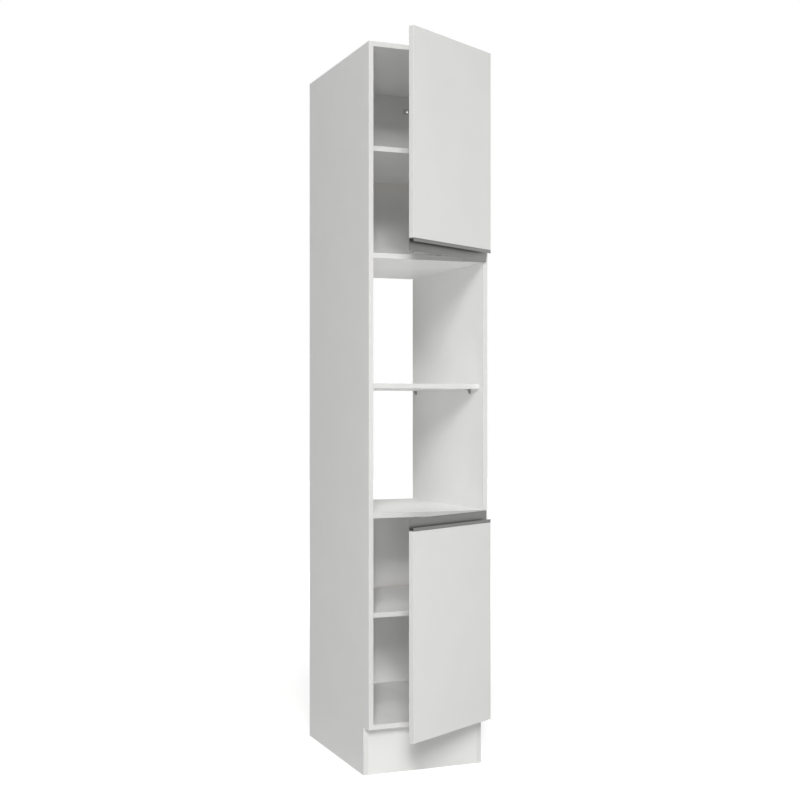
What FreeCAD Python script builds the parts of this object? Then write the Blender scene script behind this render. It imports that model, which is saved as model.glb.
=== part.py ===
import FreeCAD, Part
import math
import os

# Tall kitchen cabinet with two open niches between an upper and a lower cupboard.
# Frame: X to the right, Y towards the wall, Z up. The origin lies on the floor, at the middle of the
# cabinet's width, in the plane of its rear edges. The front faces -Y. All lengths are millimetres.

V = FreeCAD.Vector
UP = V(0, 0, 1)

# ------------------------------------------------------------------ driving dimensions: boards
cabinet_width = 400.0
carcass_depth = 580.0
carcass_height = 2100.0
upper_cupboard_height = 660.0
lower_cupboard_height = 660.0
board = 15.0
board_arris = 0.4
back_board = 3.0

plinth_height = 150.0
plinth_setback = 47.0

rebate_width = 8.0
rebate_depth = 6.0
back_clearance = 0.5

# ------------------------------------------------------------------ driving dimensions: shelves
shelf_setback = 28.0
shelf_rear_gap = 22.0
shelf_side_gap = 0.5
upper_shelf_height = 317.0
niche_shelf_height = 382.5
lower_shelf_height = 322.0

support_front_inset = 72.0
support_rear_inset = 10.0
support_width = 16.0
support_reach = 10.0
support_drop = 15.0
support_sheet = 1.5
support_gusset = 3.0
support_pin_radius = 2.45
support_pin_length = 9.0
support_hole_radius = 2.5
support_hole_depth = 10.0

# ------------------------------------------------------------------ driving dimensions: doors
door_board = 18.0
door_arris = 0.8
door_side_reveal = 2.0
door_end_reveal = 3.0
door_gap = 2.0
door_open_angle = 29.8

grip_reach = 37.0
grip_sheet = 1.5
grip_lip_height = 10.4
grip_inner_radius = 0.8
grip_edge_radius = 0.3
grip_end_reveal = 1.5
tongue_thickness = 2.0
tongue_length = 9.0
barb_height = 0.25
barb_pitch = 2.5
kerf_clearance = 0.05
kerf_bottom_clearance = 1.0

bumper_radius = 4.0
bumper_thickness = 1.7
bumper_end_inset = 12.0

# ------------------------------------------------------------------ driving dimensions: joints
cam_radius = 7.4
cam_length = 12.0
cam_reach = 34.0
cam_inset = 50.0
cam_hook_radius = 3.8
cam_cross_width = 1.6
cam_cross_length = 8.0
cam_cross_depth = 2.0
cam_bore_clearance = 0.1
cam_bore_bottom = 0.5
bolt_bore_radius = 4.0
bolt_shank_radius = 3.4
bolt_neck_radius = 2.2
bolt_head_length = 3.0
bolt_neck_length = 5.0
bolt_thread_radius = 2.45
bolt_thread_length = 10.0
bolt_hole_radius = 2.5
bolt_hole_bottom = 0.5

dowel_radius = 3.95
dowel_length = 30.0
dowel_in_side = 10.0
dowel_pitch = 32.0
dowel_bore_radius = 4.0
dowel_bore_bottom = 0.5
dowel_chamfer = 0.6

cap_radius = 8.6
cap_thickness = 1.0
cap_edge = 0.4

# ------------------------------------------------------------------ driving dimensions: plinth blocks
block_size = 28.0
block_wall = 3.0
block_screw_near = 10.0
block_screw_far = 19.0
screw_shank_radius = 1.7
screw_hole_radius = 1.75
screw_grip = 11.0
screw_tip = 1.5
screw_head_radius = 3.5
screw_head_height = 2.0
screw_recess_width = 0.8
screw_recess_length = 3.6
screw_recess_depth = 1.0
screw_hole_bottom = 0.5

# ------------------------------------------------------------------ driving dimensions: backs, wall
nail_radius = 0.7
nail_hole_radius = 0.75
nail_grip = 12.0
nail_head_radius = 2.0
nail_head_height = 0.8
nail_end_inset = 40.0
nail_rows = 4
nail_columns = 2

bracket_leg = 40.0
bracket_height = 20.0
bracket_sheet = 2.0
bracket_bend_radius = 2.0
bracket_drop = 43.0
bracket_screw_pitch = 20.0
bracket_screw_inset = 26.0
wall_hole_inset = 24.0
wall_hole_radius = 3.5
wall_hole_clearance = 0.5

# ------------------------------------------------------------------ driving dimensions: hinges
# Each pair of numbers is a place in the closed hinge seen from above: how far it lies inward from the
# inner face of the right side panel, then how far outward from the front of the carcass.
outer_link_pivot = (21.7, -6.4)
outer_link_elbow = (2.15, 7.3)
door_pivot = (-3.5, 3.4)
inner_link_pivot = (17.95, 10.8)
inner_link_elbow = (3.0, 11.95)
inner_link_eye = (-2.3, 9.65)
guide_pin = (-1.35, 8.65)
outer_link_rate = -0.291
inner_link_rate = -0.207

hinge_end_inset = 100.0
hinge_pin_radius = 0.9
hinge_pin_clearance = 0.05
arm_pivot_radius = 2.3
door_eye_radius = 1.9
open_eye_bore = 2.35
open_eye_radius = 3.1
outer_link_half_width = 1.7
inner_link_half_width = 1.25
inner_link_half_height = 4.6
cheek_start = 5.2
cheek_end = 6.4
flange_start = 7.0
flange_end = 8.2
link_web_from = 0.15
link_web_to = 0.6
link_web_sheet = 1.2

arm_sheet = 1.2
arm_low = 8.0
arm_top = 15.2
arm_neck = -22.0
arm_throat = (10.0, -8.0)
arm_web_end = -14.0
arm_end = -58.0
arm_screw_place = -48.0

plate_sheet = 1.5
plate_start = -45.0
plate_end = -29.0
plate_half_height = 24.0
plate_corner = 3.0
plate_screw_offset = 16.0
riser_start = -56.0
riser_end = -26.0
riser_clearance = 0.1

cup_radius = 17.5
cup_wall = 1.0
cup_depth = 12.5
cup_edge_distance = 5.0
cup_bore_clearance = 0.05
cup_cheek_start = 8.8
cup_cheek_width = 9.0
cup_pin_reach = 10.0
cup_rim = 0.5
cup_plate_sheet = 1.0
cup_plate_half_height = 29.0
cup_plate_width = 12.0
cup_screw_forward = 6.0
cup_screw_offset = 24.0

# ------------------------------------------------------------------ planes worked out from the sizes
half_width = cabinet_width / 2
inner_half = half_width - board
front = -carcass_depth
rear = 0.0
carcass_top = plinth_height + carcass_height
back_face = rear - rebate_depth
shelf_front = front + shelf_setback
shelf_rear = rear - shelf_rear_gap

bottom_top = plinth_height + board
niche_floor_top = plinth_height + lower_cupboard_height
niche_floor_underside = niche_floor_top - board
upper_base_underside = carcass_top - upper_cupboard_height
upper_base_top = upper_base_underside + board
top_underside = carcass_top - board

door_back = front - door_gap
door_front = door_back - door_board
door_left = -half_width + door_side_reveal
door_right = half_width - door_side_reveal

SIDES = (-1, 1)
near_rounding = 0.01


# ------------------------------------------------------------------ small solids
def slab(x0, x1, y0, y1, z0, z1):
    """A box between two corners, given in any order."""
    low = V(min(x0, x1), min(y0, y1), min(z0, z1))
    return Part.makeBox(abs(x1 - x0), abs(y1 - y0), abs(z1 - z0), low)


def rod(radius, start, end):
    """A round bar from one point to another."""
    axis = end - start
    return Part.makeCylinder(radius, axis.Length, start, axis)


def fused(solids):
    """One solid from solids that touch or overlap."""
    return solids[0].multiFuse(solids[1:]).removeSplitter()


def prism(points, direction):
    """A straight extrusion of the closed outline through the points."""
    return Part.Face(Part.makePolygon(points + points[:1])).extrude(direction)


def rounded(solid, radius, chosen):
    """The solid with a fillet on each edge that the test picks."""
    return solid.makeFillet(radius, [edge for edge in solid.Edges if chosen(edge)])


def aimed(shape, seat, direction):
    """A shape made along +Z from the origin, moved to its seat and turned to a direction."""
    placed = shape.copy()
    placed.Placement = FreeCAD.Placement(seat, FreeCAD.Rotation(UP, direction))
    return placed


def spread(low, high, count):
    """Evenly spaced values from low to high, both ends included."""
    return [low + (high - low) * step / (count - 1) for step in range(count)]


# ------------------------------------------------------------------ fasteners, made along +Z
def screw(through):
    """A pan-head screw whose head sits below Z = 0. It passes a sheet, then grips the board."""
    shank_end = through + screw_grip
    head = rod(screw_head_radius, V(0, 0, -screw_head_height), V(0, 0, 0))
    shank = rod(screw_shank_radius, V(0, 0, 0), V(0, 0, shank_end - screw_tip))
    tip = Part.makeCone(screw_shank_radius, screw_shank_radius / 2, screw_tip,
                        V(0, 0, shank_end - screw_tip), UP)
    return fused([head, shank, tip]).cut(cross_recess(
        -screw_head_height, screw_recess_depth, screw_recess_length, screw_recess_width))


def cross_recess(face, depth, length, width):
    """The cutters of a crosshead recess that goes up from a face."""
    arm = slab(-length / 2, length / 2, -width / 2, width / 2, face, face + depth)
    return [arm, arm.rotated(V(), UP, 90)]


def screw_hole(seat, direction, depth):
    """A pilot hole for a screw, from its seat into the board."""
    return rod(screw_hole_radius, seat, seat + direction * (depth + screw_hole_bottom))


def nail():
    """A flat-head nail whose head sits below Z = 0, on the outer face of a back panel."""
    head = rod(nail_head_radius, V(0, 0, -nail_head_height), V(0, 0, 0))
    shank = rod(nail_radius, V(0, 0, 0), V(0, 0, back_board + nail_grip))
    return fused([head, shank])


# ------------------------------------------------------------------ carcass joints: cams and dowels
class FixedPanel:
    """A board between the side panels, held by cams and dowels.

    cam_side and rebate_side are +1 for the board's upper face and -1 for its underside.
    """

    def __init__(self, name, underside, cam_side, rebate_side, capped):
        self.name = name
        self.underside = underside
        self.top = underside + board
        self.middle = underside + board / 2
        self.cam_side = cam_side
        self.cam_face = self.top if cam_side > 0 else underside
        self.rebate_side = rebate_side
        self.rebate_face = self.top if rebate_side > 0 else underside
        self.capped = capped


fixed_panels = [
    FixedPanel("bottom_panel", plinth_height, -1, 1, False),
    FixedPanel("niche_floor_panel", niche_floor_underside, -1, -1, True),
    FixedPanel("upper_base_panel", upper_base_underside, 1, 1, True),
    FixedPanel("top_panel", top_underside, 1, -1, False),
]

cam_rows = [front + cam_inset, rear - cam_inset]
dowel_rows = [front + cam_inset + dowel_pitch, rear - cam_inset - dowel_pitch]


def cam_lock(panel, side, y):
    """A cam in its bore, with the hooked way for the bolt's head and a cross recess on its face."""
    x = side * (inner_half - cam_reach)
    seat = V(x, y, panel.cam_face)
    into = V(0, 0, -panel.cam_side)
    body = rod(cam_radius, seat, seat + into * cam_length)
    hook = rod(cam_hook_radius, V(x - side * bolt_head_length, y, panel.middle),
               V(x + side * (cam_radius + bolt_head_length), y, panel.middle))
    recess = [aimed(arm, seat, into) for arm in cross_recess(
        0, cam_cross_depth, cam_cross_length, cam_cross_width)]
    return body.cut([hook] + recess)


def cam_bolt(panel, side, y):
    """A bolt screwed into the side panel, with its head in the cam."""
    cam_x = inner_half - cam_reach
    stations = [
        (bolt_thread_radius, inner_half + bolt_thread_length, inner_half),
        (bolt_shank_radius, inner_half, cam_x + bolt_head_length / 2 + bolt_neck_length),
        (bolt_neck_radius, cam_x + bolt_head_length / 2 + bolt_neck_length,
         cam_x + bolt_head_length / 2),
        (bolt_shank_radius, cam_x + bolt_head_length / 2, cam_x - bolt_head_length / 2),
    ]
    return fused([rod(radius, V(side * start, y, panel.middle), V(side * end, y, panel.middle))
                  for radius, start, end in stations])


def dowel(panel, side, y):
    """A wooden dowel, partly in the side panel, partly in the fixed panel's end."""
    outer = V(side * (inner_half + dowel_in_side), y, panel.middle)
    inner = V(side * (inner_half + dowel_in_side - dowel_length), y, panel.middle)
    peg = rod(dowel_radius, outer, inner)
    return peg.makeChamfer(dowel_chamfer, [edge for edge in peg.Edges if edge.Closed])


def cam_cap(panel, side, y):
    """A round cover cap that lies on a cam."""
    seat = V(side * (inner_half - cam_reach), y, panel.cam_face)
    cap = rod(cap_radius, V(), UP * cap_thickness)
    cap = rounded(cap, cap_edge, lambda edge: edge.CenterOfMass.z > cap_thickness - near_rounding)
    return aimed(cap, seat, V(0, 0, panel.cam_side))


def panel_bores(panel):
    """The bores in a fixed panel for its cams, bolts and dowels."""
    bores = []
    for side in SIDES:
        for y in cam_rows:
            x = side * (inner_half - cam_reach)
            seat = V(x, y, panel.cam_face)
            into = V(0, 0, -panel.cam_side)
            depth = cam_length + cam_bore_bottom
            bores.append(rod(cam_radius + cam_bore_clearance, seat, seat + into * depth))
            bores.append(rod(bolt_bore_radius, V(side * inner_half, y, panel.middle),
                             V(x, y, panel.middle)))
        for y in dowel_rows:
            depth = dowel_length - dowel_in_side + dowel_bore_bottom
            bores.append(rod(dowel_bore_radius, V(side * inner_half, y, panel.middle),
                             V(side * (inner_half - depth), y, panel.middle)))
    return bores


def side_bores(side):
    """The blind holes in a side panel for the bolts and dowels of every fixed panel."""
    bores = []
    for panel in fixed_panels:
        face = V(side * inner_half, 0, panel.middle)
        into = V(side, 0, 0)
        for y in cam_rows:
            seat = face + V(0, y, 0)
            bores.append(rod(bolt_hole_radius, seat,
                             seat + into * (bolt_thread_length + bolt_hole_bottom)))
        for y in dowel_rows:
            seat = face + V(0, y, 0)
            bores.append(rod(dowel_bore_radius, seat,
                             seat + into * (dowel_in_side + dowel_bore_bottom)))
    return bores


# ------------------------------------------------------------------ back panels and their nails
class Back:
    """A thin panel let into a rebate behind one cupboard."""

    def __init__(self, name, floor_top, ceiling):
        self.name = name
        self.rebate_low = floor_top - rebate_width
        self.rebate_high = ceiling + rebate_width
        self.low = self.rebate_low + back_clearance
        self.high = self.rebate_high - back_clearance
        self.floor_shoulder = floor_top - rebate_width / 2
        self.ceiling_shoulder = ceiling + rebate_width / 2

    def nails(self):
        """The points on the back's outer face where its nails enter."""
        y = back_face + back_board
        side_x = inner_half + rebate_width / 2
        heights = spread(self.low + nail_end_inset, self.high - nail_end_inset, nail_rows)
        columns = spread(nail_end_inset - inner_half, inner_half - nail_end_inset, nail_columns)
        places = [V(side * side_x, y, z) for side in SIDES for z in heights]
        shoulders = (self.floor_shoulder, self.ceiling_shoulder)
        return places + [V(x, y, z) for x in columns for z in shoulders]


upper_back = Back("upper_back_panel", upper_base_top, top_underside)
lower_back = Back("lower_back_panel", bottom_top, niche_floor_underside)
backs = [upper_back, lower_back]
INTO_BOARD = V(0, -1, 0)


def nail_holes(back):
    """The holes that one back's nails make, through the panel and into the boards behind it."""
    return [rod(nail_hole_radius, place, place + INTO_BOARD * (back_board + nail_grip + back_clearance))
            for place in back.nails()]


def back_panel(back):
    """One back panel with its nail holes, and with holes for the wall screws if it has brackets."""
    reach = inner_half + rebate_width - back_clearance
    solid = slab(-reach, reach, back_face, back_face + back_board, back.low, back.high)
    tools = nail_holes(back)
    if back is upper_back:
        radius = wall_hole_radius + wall_hole_clearance
        tools += [rod(radius, V(x, back_face, wall_hole_level), V(x, rear, wall_hole_level))
                  for x in wall_hole_places]
    return solid.cut(tools)


# ------------------------------------------------------------------ wall brackets
bracket_top = top_underside - bracket_drop
bracket_low = bracket_top - bracket_height
wall_hole_level = bracket_low + bracket_height / 2
wall_hole_places = [side * (inner_half - wall_hole_inset) for side in SIDES]
bracket_screw_rows = [back_face - bracket_screw_inset + bracket_screw_pitch * step for step in (-0.5, 0.5)]


def bracket_screw_seats(side, from_wall):
    """Where a bracket's screws sit, at a distance from the inner face of the side panel."""
    x = side * (inner_half - from_wall)
    return [V(x, y, wall_hole_level) for y in bracket_screw_rows]


def wall_bracket(side):
    """An angle of sheet steel in a rear corner of the upper cupboard, with a hole for a wall screw."""
    wall = side * inner_half
    side_leg = slab(wall, wall - side * bracket_sheet, back_face, back_face - bracket_leg,
                    bracket_low, bracket_top)
    wall_leg = slab(wall, wall - side * bracket_leg, back_face, back_face - bracket_sheet,
                    bracket_low, bracket_top)
    angle = fused([side_leg, wall_leg])
    bend = V(wall - side * bracket_sheet, back_face - bracket_sheet, wall_hole_level)
    angle = rounded(angle, bracket_bend_radius,
                    lambda edge: (edge.CenterOfMass - bend).Length < near_rounding)
    hole_x = side * (inner_half - wall_hole_inset)
    holes = [rod(wall_hole_radius, V(hole_x, back_face, wall_hole_level),
                 V(hole_x, back_face - bracket_sheet, wall_hole_level))]
    holes += [screw_hole(seat, V(-side, 0, 0), bracket_sheet) for seat in bracket_screw_seats(side, 0)]
    return angle.cut(holes)


def bracket_screw_holes(side):
    """The pilot holes of one bracket's screws in its side panel."""
    return [screw_hole(seat, V(side, 0, 0), screw_grip) for seat in bracket_screw_seats(side, 0)]


def bracket_screws(side):
    """The screws that hold one bracket to its side panel."""
    return [aimed(screw(bracket_sheet), seat, V(side, 0, 0))
            for seat in bracket_screw_seats(side, bracket_sheet)]


# ------------------------------------------------------------------ shelves and their supports
class Shelf:
    """A loose shelf on four supports, two in each side panel."""

    def __init__(self, name, supports_name, underside):
        self.name = name
        self.supports_name = supports_name
        self.underside = underside
        self.support_rows = [shelf_front + support_front_inset, shelf_rear - support_rear_inset]
        self.pin_level = underside - support_drop / 2

    def solid(self):
        """The shelf board with its front edges eased."""
        reach = inner_half - shelf_side_gap
        blank = slab(-reach, reach, shelf_front, shelf_rear, self.underside, self.underside + board)
        return rounded(blank, board_arris, lambda edge: on_front(edge, shelf_front))

    def pin_holes(self, side):
        """The holes in one side panel for this shelf's supports."""
        wall = side * inner_half
        return [rod(support_hole_radius, V(wall, y, self.pin_level),
                    V(wall + side * support_hole_depth, y, self.pin_level))
                for y in self.support_rows]

    def support(self, side, y):
        """A moulded support: a ledge under the shelf, a leg on the side panel, a web and a pin."""
        wall = side * inner_half
        tip = wall - side * support_reach
        low = self.underside - support_drop
        ledge_low = self.underside - support_sheet
        leg_face = wall - side * support_sheet
        ledge = slab(wall, tip, y - support_width / 2, y + support_width / 2, ledge_low, self.underside)
        leg = slab(wall, leg_face, y - support_width / 2, y + support_width / 2, low, self.underside)
        y_web = y - support_gusset / 2
        web = prism([V(leg_face, y_web, low), V(tip, y_web, ledge_low), V(leg_face, y_web, ledge_low)],
                    V(0, support_gusset, 0))
        pin = rod(support_pin_radius, V(leg_face, y, self.pin_level),
                  V(wall + side * support_pin_length, y, self.pin_level))
        return fused([ledge, leg, web, pin])


def on_front(edge, y):
    """Whether an edge lies along the front plane at y."""
    box = edge.BoundBox
    return abs(box.YMin - y) < near_rounding and abs(box.YMax - y) < near_rounding


shelves = [
    Shelf("upper_shelf", "upper_shelf_supports", upper_base_top + upper_shelf_height),
    Shelf("niche_shelf", "niche_shelf_supports", niche_floor_top + niche_shelf_height),
    Shelf("lower_shelf", "lower_shelf_supports", bottom_top + lower_shelf_height),
]


# ------------------------------------------------------------------ plinth
plinth_front = front + plinth_setback


class Corner:
    """A moulded block inside one corner of the plinth, screwed to two boards and the bottom panel."""

    def __init__(self, side, y, into):
        self.point = V(side * inner_half, y, plinth_height)
        self.inward = V(-side, 0, 0)
        self.into = V(0, into, 0)
        self.down = V(0, 0, -1)
        self.side = side

    def place(self, across, along, below):
        """The point at three distances from the corner."""
        return self.point + self.inward * across + self.into * along + self.down * below

    def plate(self, across, along, below):
        """The box from the corner to the point at three distances from it."""
        far = self.place(across, along, below)
        return slab(self.point.x, far.x, self.point.y, far.y, self.point.z, far.z)

    def seats(self, lift):
        """Each screw's seat and direction, at a lift above the board it holds."""
        return [
            (self.place(lift, block_screw_far, block_screw_far), -self.inward),
            (self.place(block_screw_far, lift, block_screw_far), -self.into),
            (self.place(block_screw_far, block_screw_near, lift), -self.down),
        ]

    def block(self):
        """The block with its three screw holes."""
        solid = fused([
            self.plate(block_wall, block_size, block_size),
            self.plate(block_size, block_wall, block_size),
            self.plate(block_size, block_size, block_wall),
        ])
        return solid.cut([screw_hole(seat, -direction, block_wall) for seat, direction in self.seats(0)])

    def screws(self):
        """The three screws of the block."""
        return [aimed(screw(block_wall), seat, direction) for seat, direction in self.seats(block_wall)]

    def pilot_holes(self):
        """The holes of the three screws in the boards."""
        return [screw_hole(seat, direction, screw_grip) for seat, direction in self.seats(0)]


corners = [Corner(side, y, into) for side in SIDES
           for y, into in ((plinth_front + board, 1), (rear - board, -1))]
corner_holes = [hole for corner in corners for hole in corner.pilot_holes()]


def plinth_side(side):
    """A plinth board in line with one side panel."""
    blank = slab(side * inner_half, side * half_width, plinth_front, rear, 0, plinth_height)
    return rounded(blank, board_arris, lambda edge: on_front(edge, plinth_front) and is_upright(edge)
                   ).cut(corner_holes)


def plinth_cross_board(y0, y1):
    """A plinth board between the two plinth sides."""
    return slab(-inner_half, inner_half, y0, y1, 0, plinth_height).cut(corner_holes)


def is_upright(edge):
    """Whether an edge is longer in height than across."""
    return edge.BoundBox.ZLength > edge.BoundBox.XLength


# ------------------------------------------------------------------ carcass panels
def fixed_panel(panel):
    """A fixed panel with its rebate and every bore in it."""
    blank = slab(-inner_half, inner_half, front, rear, panel.underside, panel.top)
    blank = rounded(blank, board_arris, lambda edge: on_front(edge, front) and not is_upright(edge))
    rebate = slab(-inner_half, inner_half, back_face, rear,
                  panel.rebate_face, panel.rebate_face - panel.rebate_side * rebate_width)
    tools = [rebate] + panel_bores(panel) + corner_holes
    for back in backs:
        tools += nail_holes(back)
    return blank.cut(tools)


def side_panel(side):
    """A side panel with its stopped rebates and every hole in its inner face."""
    wall = side * inner_half
    blank = slab(wall, side * half_width, front, rear, plinth_height, carcass_top)
    blank = rounded(blank, board_arris, lambda edge: on_front(edge, front) and is_upright(edge))
    tools = side_bores(side) + bracket_screw_holes(side)
    for back in backs:
        tools.append(slab(wall, wall + side * rebate_width, back_face, rear,
                          back.rebate_low, back.rebate_high))
        tools += nail_holes(back)
    for shelf in shelves:
        tools += shelf.pin_holes(side)
    if side > 0:
        for door in doors:
            tools += door.plate_screw_holes()
    return blank.cut(tools)


# ------------------------------------------------------------------ concealed hinges
def spot(place, z=0.0):
    """The model's point for a place in the closed hinge."""
    inward, outward = place
    return V(inner_half - inward, front - outward, z)


def block_between(place, other, z0, z1):
    """A box between two places of the closed hinge and two heights."""
    a = spot(place, z0)
    b = spot(other, z1)
    return slab(a.x, b.x, a.y, b.y, a.z, b.z)


def strap(places, half_width_of_strap, z0, z1):
    """A flat bar along the places, round at its ends and bends."""
    solids = [rod(half_width_of_strap, spot(place, z0), spot(place, z1)) for place in places]
    for place, following in zip(places, places[1:]):
        start = spot(place, z0)
        end = spot(following, z0)
        across = (end - start).cross(UP).normalize() * half_width_of_strap
        solids.append(prism([start + across, end + across, end - across, start - across],
                            UP * (z1 - z0)))
    return fused(solids)


def pin_bore(place, radius, reach):
    """The cutter of a bore about a place, up and down to a reach."""
    return rod(radius, spot(place, -reach), spot(place, reach))


def both_ways(start, end, shape_between):
    """A shape made between two heights above the middle, and its twin below the middle."""
    return [shape_between(start, end), shape_between(-end, -start)]


pivot_bore = hinge_pin_radius + hinge_pin_clearance


def outer_link():
    """Two bent cheeks joined by a web near the arm's pivot."""
    def cheek(z0, z1):
        return fused([
            strap([outer_link_pivot, outer_link_elbow, door_pivot], outer_link_half_width, z0, z1),
            rod(arm_pivot_radius, spot(outer_link_pivot, z0), spot(outer_link_pivot, z1)),
            rod(door_eye_radius, spot(door_pivot, z0), spot(door_pivot, z1)),
        ])

    cheeks = both_ways(cheek_start, cheek_end, cheek)
    start = spot(outer_link_pivot, -cheek_end)
    along = spot(outer_link_elbow, -cheek_end) - start
    across = along.cross(UP).normalize()
    near = start + along * link_web_from - across * outer_link_half_width
    far = start + along * link_web_to - across * outer_link_half_width
    web = prism([near, far, far + across * link_web_sheet, near + across * link_web_sheet],
                UP * (2 * cheek_end))
    return fused(cheeks + [web]).cut([
        pin_bore(outer_link_pivot, pivot_bore, flange_end), pin_bore(door_pivot, pivot_bore, flange_end)])


def inner_link():
    """A bent strap between the outer link's cheeks, with a wide eye round the guide pin."""
    half = inner_link_half_height
    blank = fused([
        strap([inner_link_pivot, inner_link_elbow, inner_link_eye], inner_link_half_width, -half, half),
        pin_bore(inner_link_pivot, arm_pivot_radius, half),
        pin_bore(inner_link_eye, open_eye_radius, half),
    ])
    return blank.cut([pin_bore(inner_link_pivot, pivot_bore, flange_end),
                      pin_bore(inner_link_eye, open_eye_bore, flange_end)])


def hinge_arm():
    """A channel of sheet steel whose two flanges carry the pins of the links."""
    neck = (arm_top - arm_pivot_radius, arm_neck)
    outline = [(arm_top, arm_end), (arm_top, arm_neck), outer_link_pivot, inner_link_pivot, arm_throat,
               (arm_low, arm_neck), (arm_low, arm_end)]

    def flange(z0, z1):
        return fused([
            prism([spot(place, z0) for place in outline], UP * (z1 - z0)),
            strap([neck, outer_link_pivot, inner_link_pivot], arm_pivot_radius, z0, z1),
        ])

    web = block_between((arm_top - arm_sheet, arm_end), (arm_top, arm_web_end), -flange_end, flange_end)
    return fused(both_ways(flange_start, flange_end, flange) + [web]).cut([
        pin_bore(outer_link_pivot, pivot_bore, 2 * flange_end),
        pin_bore(inner_link_pivot, pivot_bore, 2 * flange_end),
        screw_hole(arm_screw_seat(0), V(-1, 0, 0), arm_sheet),
    ])


def arm_screw_seat(lift):
    """The seat of the screw through the arm, at a lift above the mounting plate's riser."""
    return spot((arm_top - arm_sheet + lift, arm_screw_place))


def mounting_plate():
    """A screwed-on plate with a riser that the arm sits astride."""
    plate = block_between((0, plate_start), (plate_sheet, plate_end), -plate_half_height, plate_half_height)
    plate = rounded(plate, plate_corner, lambda edge: edge.BoundBox.XLength > plate_sheet - near_rounding
                    and edge.BoundBox.YLength < near_rounding and edge.BoundBox.ZLength < near_rounding)
    riser_half = flange_start - riser_clearance
    riser = block_between((0, riser_start), (arm_top - arm_sheet, riser_end), -riser_half, riser_half)
    holes = [screw_hole(seat, V(-1, 0, 0), plate_sheet) for seat in plate_screw_seats(0)]
    return fused([plate, riser]).cut(holes + [screw_hole(arm_screw_seat(0), V(1, 0, 0), screw_grip)])


def plate_screw_seats(lift):
    """The seats of the mounting plate's screws, at a lift above the side panel's face."""
    y = (plate_start + plate_end) / 2
    return [spot((lift, y), z) for z in (-plate_screw_offset, plate_screw_offset)]


cup_centre = (door_side_reveal - board + cup_edge_distance + cup_radius, door_gap)
cup_bottom = door_gap + cup_depth


def cup_disc(radius, outward_from, outward_to):
    """A round slab about the cup's axis between two distances from the carcass front."""
    inward, _ = cup_centre
    return rod(radius, spot((inward, outward_from)), spot((inward, outward_to)))


def hinge_cup():
    """The cup with its screw-on plate and the two cheeks that hold the pins."""
    inward, outward = cup_centre
    plate_face = outward - cup_plate_sheet
    inner_radius = cup_radius - cup_wall
    wing_middle = inward + cup_screw_forward
    wings = block_between((wing_middle - cup_plate_width / 2, plate_face),
                          (wing_middle + cup_plate_width / 2, outward),
                          -cup_plate_half_height, cup_plate_half_height)
    wings = rounded(wings, plate_corner, lambda edge: edge.BoundBox.YLength > cup_plate_sheet - near_rounding
                    and edge.BoundBox.XLength < near_rounding and edge.BoundBox.ZLength < near_rounding)
    hollow = cup_disc(inner_radius, plate_face, cup_bottom - cup_wall)
    shell = fused([wings, cup_disc(cup_radius + cup_rim, plate_face, outward),
                   cup_disc(cup_radius, outward, cup_bottom)]).cut(hollow)

    def cheek(z0, z1):
        edge = inward - cup_radius
        return block_between((edge, outward), (edge + cup_cheek_width + cup_wall, cup_bottom - cup_wall),
                             z0, z1).common(cup_disc(cup_radius, outward, cup_bottom))

    cheeks = both_ways(cup_cheek_start, cup_radius, cheek)
    reach = cup_pin_reach + hinge_pin_clearance
    holes = [pin_bore(door_pivot, pivot_bore, reach), pin_bore(guide_pin, pivot_bore, reach)]
    holes += [screw_hole(seat, V(0, 1, 0), cup_plate_sheet) for seat in cup_screw_seats(0)]
    return fused([shell] + cheeks).cut(holes)


def cup_screw_seats(lift):
    """The seats of the cup's screws, at a lift above the door's back."""
    inward, outward = cup_centre
    return [spot((inward + cup_screw_forward, outward - lift), z)
            for z in (-cup_screw_offset, cup_screw_offset)]


INTO_DOOR = V(0, -1, 0)
INTO_SIDE = V(1, 0, 0)


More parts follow.
